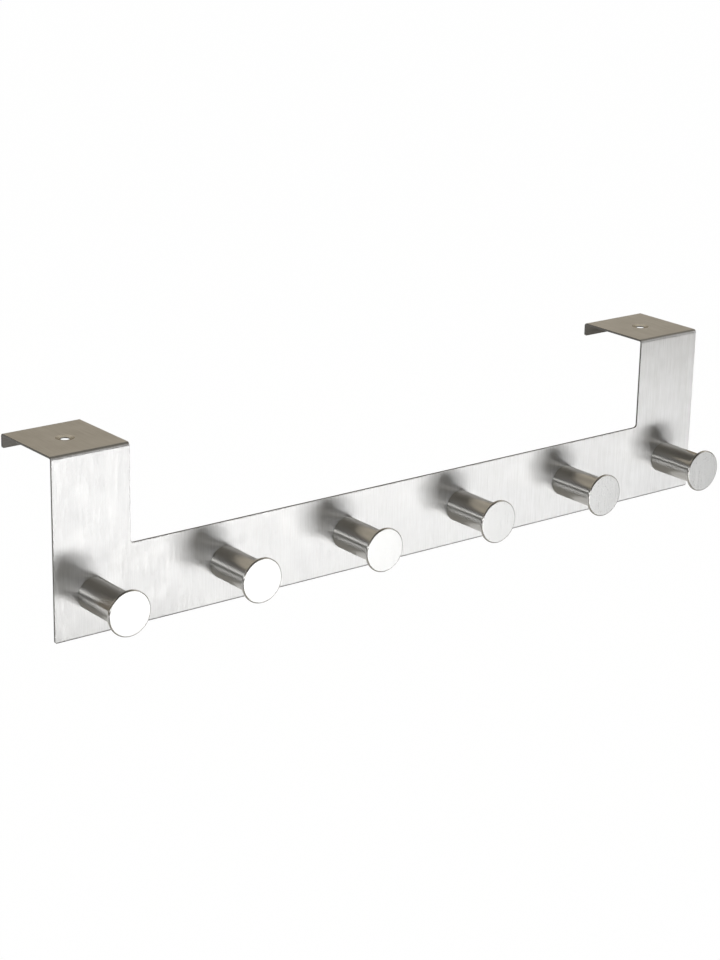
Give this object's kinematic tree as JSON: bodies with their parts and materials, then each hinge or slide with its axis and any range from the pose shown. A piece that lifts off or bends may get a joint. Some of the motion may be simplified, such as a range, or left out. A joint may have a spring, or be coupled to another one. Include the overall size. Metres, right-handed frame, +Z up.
{
  "type": "over door hook",
  "caption": "Hook rack that hangs over a door: a folded stainless steel sheet with a strap at each end and a row of round pegs with disc heads.",
  "frame": {"origin": "on the back face of the sheet, which lies on the door, in the middle of the rack's length and at the height of the pegs' axes", "axes": "+X along the rack, +Y out of the back face towards the door, +Z up; the pegs point along -Y"},
  "size_m": [0.4, 0.075, 0.088],
  "materials": {
    "sheet_steel": "brushed across the rack, satin",
    "peg_steel": "fine turned and polished, head face brushed",
    "screw_steel": "plain stainless screw"
  },
  "bodies": {
    "root": {"rack_plate": "sheet_steel", "peg_1": "peg_steel", "peg_2": "peg_steel", "peg_3": "peg_steel", "peg_4": "peg_steel", "peg_5": "peg_steel", "peg_6": "peg_steel", "peg_screw_1": "screw_steel", "peg_screw_2": "screw_steel", "peg_screw_3": "screw_steel", "peg_screw_4": "screw_steel", "peg_screw_5": "screw_steel", "peg_screw_6": "screw_steel"}
  },
  "joints": []
}
